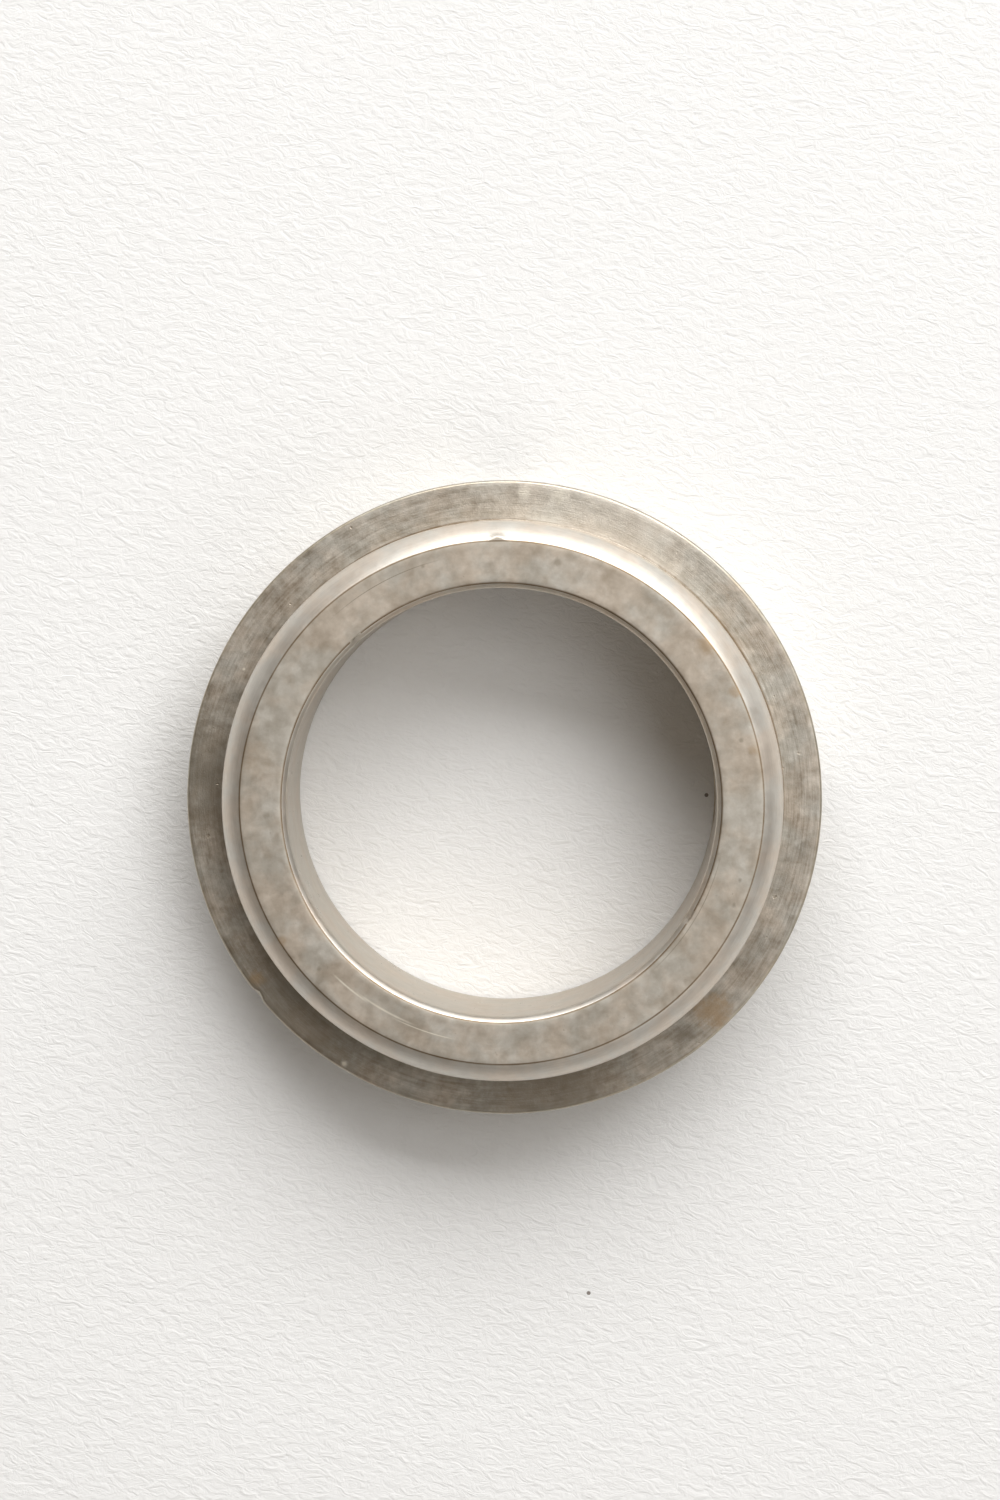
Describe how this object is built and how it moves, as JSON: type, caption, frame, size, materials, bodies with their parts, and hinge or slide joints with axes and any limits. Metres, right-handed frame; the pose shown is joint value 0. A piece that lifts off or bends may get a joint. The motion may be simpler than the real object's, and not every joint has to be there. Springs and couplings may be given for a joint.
{
  "type": "shaft collar",
  "caption": "Flanged steel shaft collar with a short tapered hub and socket set screws in the rim of its flange.",
  "frame": {"origin": "centre of the flange's back face, on the bore axis", "axes": "+Z along the bore axis from the flange to the hub; the set screws lie on +X and +Y"},
  "size_m": [0.0382, 0.0382, 0.0095],
  "materials": {
    "turned_steel": "turned, bead-blasted look with faint tool rings, light handling stains, bright worn edges",
    "black_oxide_steel": "black oxide, slightly oily"
  },
  "bodies": {
    "collar": {"collar_ring": "turned_steel"},
    "right_screw": {"set_screw_right": "black_oxide_steel"},
    "back_screw": {"set_screw_back": "black_oxide_steel"}
  },
  "joints": [
    {"name": "right_screw_travel", "type": "slide", "parent": "collar", "child": "right_screw", "axis": [-1, 0, 0], "range_m": [-0.003, 0.0014]},
    {"name": "back_screw_travel", "type": "slide", "parent": "collar", "child": "back_screw", "axis": [0, -1, 0], "range_m": [-0.003, 0.0014]}
  ]
}
